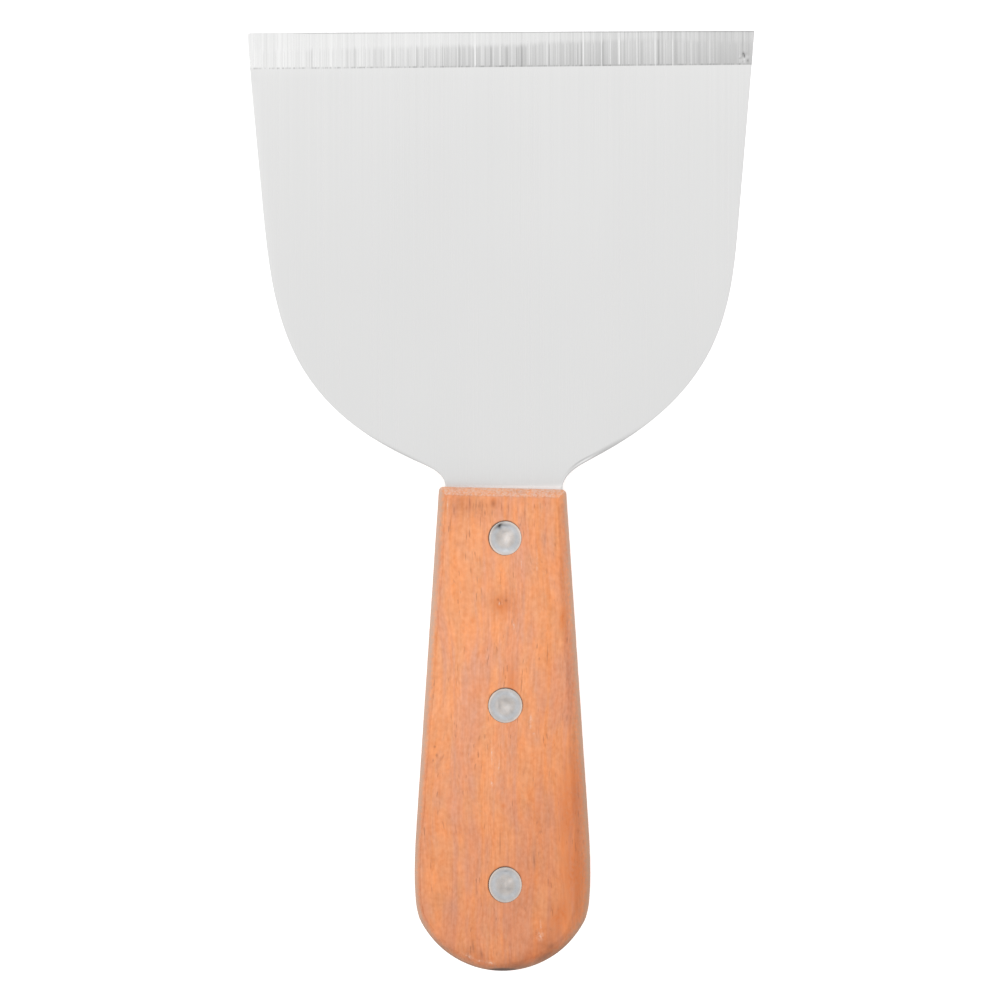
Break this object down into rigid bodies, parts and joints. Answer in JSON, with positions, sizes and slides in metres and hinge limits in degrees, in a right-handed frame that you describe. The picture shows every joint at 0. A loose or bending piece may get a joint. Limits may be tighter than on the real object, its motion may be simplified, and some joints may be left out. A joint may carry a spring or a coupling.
{
  "type": "taping knife",
  "caption": "Wide flat spreading and scraping knife: a flared steel blade ground to a straight working edge, on a full tang between riveted wooden scales.",
  "frame": {"origin": "centre of the bounding box in plan, on the outer face of the back scale", "axes": "+Y towards the working edge, +Z out of the side that carries the ground bevel, +X to the right when that side is up and the edge points away"},
  "size_m": [0.1272, 0.2356, 0.0173],
  "materials": {
    "blade_steel": "fine satin, lightly worn, with a coarser ground bevel",
    "handle_wood": "bare reddish-orange hardwood, sanded, with light knocks",
    "rivet_metal": "dull, mottled and slightly dished"
  },
  "bodies": {
    "root": {"blade_and_tang": "blade_steel", "front_scale": "handle_wood", "back_scale": "handle_wood", "front_rivet_pin": "rivet_metal", "front_rivet_socket": "rivet_metal", "middle_rivet_pin": "rivet_metal", "middle_rivet_socket": "rivet_metal", "butt_rivet_pin": "rivet_metal", "butt_rivet_socket": "rivet_metal"}
  },
  "joints": []
}
